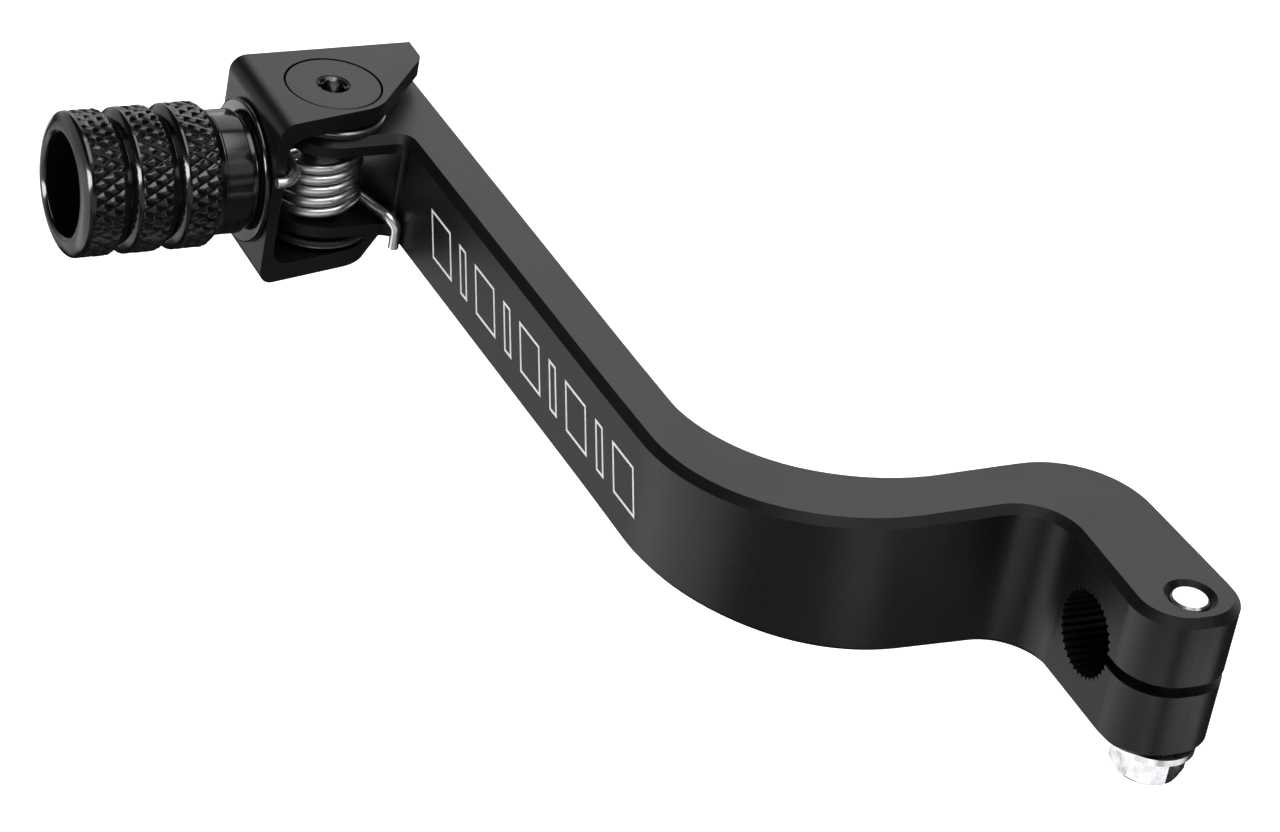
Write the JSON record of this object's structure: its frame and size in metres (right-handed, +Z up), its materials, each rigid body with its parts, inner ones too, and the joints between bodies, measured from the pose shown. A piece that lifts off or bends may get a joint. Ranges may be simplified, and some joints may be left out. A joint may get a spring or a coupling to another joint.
{
  "type": "motorcycle gear shift lever",
  "caption": "Cranked black shift lever with a splined pinch clamp, slotted and bolted, and a sprung folding tip that carries a hollow knurled toe peg.",
  "frame": {"origin": "axis of the splined bore, in the plane of its outboard mouth", "axes": "+X forward along the lever, +Y outboard along the bore and the toe peg, +Z up"},
  "size_m": [0.1731, 0.1278, 0.0336],
  "materials": {
    "anodised_black": "black anodised, bead blasted, fine satin grain",
    "anodised_gloss": "black anodised over a bright turned surface, glossy",
    "zinc_bright": "bright zinc plated steel",
    "spring_steel": "stainless spring wire, drawn finish",
    "washer_steel": "bright stainless steel",
    "sleeve_steel": "ground steel",
    "black_steel": "black oxide steel"
  },
  "bodies": {
    "lever": {"lever_arm": "anodised_black", "pinch_bolt": "zinc_bright", "pivot_sleeve": "sleeve_steel", "upper_thrust_washer": "washer_steel", "lower_thrust_washer": "washer_steel", "return_spring": "spring_steel"},
    "tip": {"tip_bracket": "anodised_black", "pivot_bolt": "anodised_black", "toe_peg": "anodised_gloss", "peg_washer": "washer_steel", "peg_screw": "black_steel"}
  },
  "joints": [
    {"name": "tip_fold", "type": "hinge", "parent": "lever", "child": "tip", "pos_m": [0.1448, 0.0649, 0], "axis": [0, 0, 1], "range_deg": [0, 72], "stiffness_Nm_per_rad": 0.7, "springref_deg": -28.65, "deforming": ["return_spring"]}
  ]
}
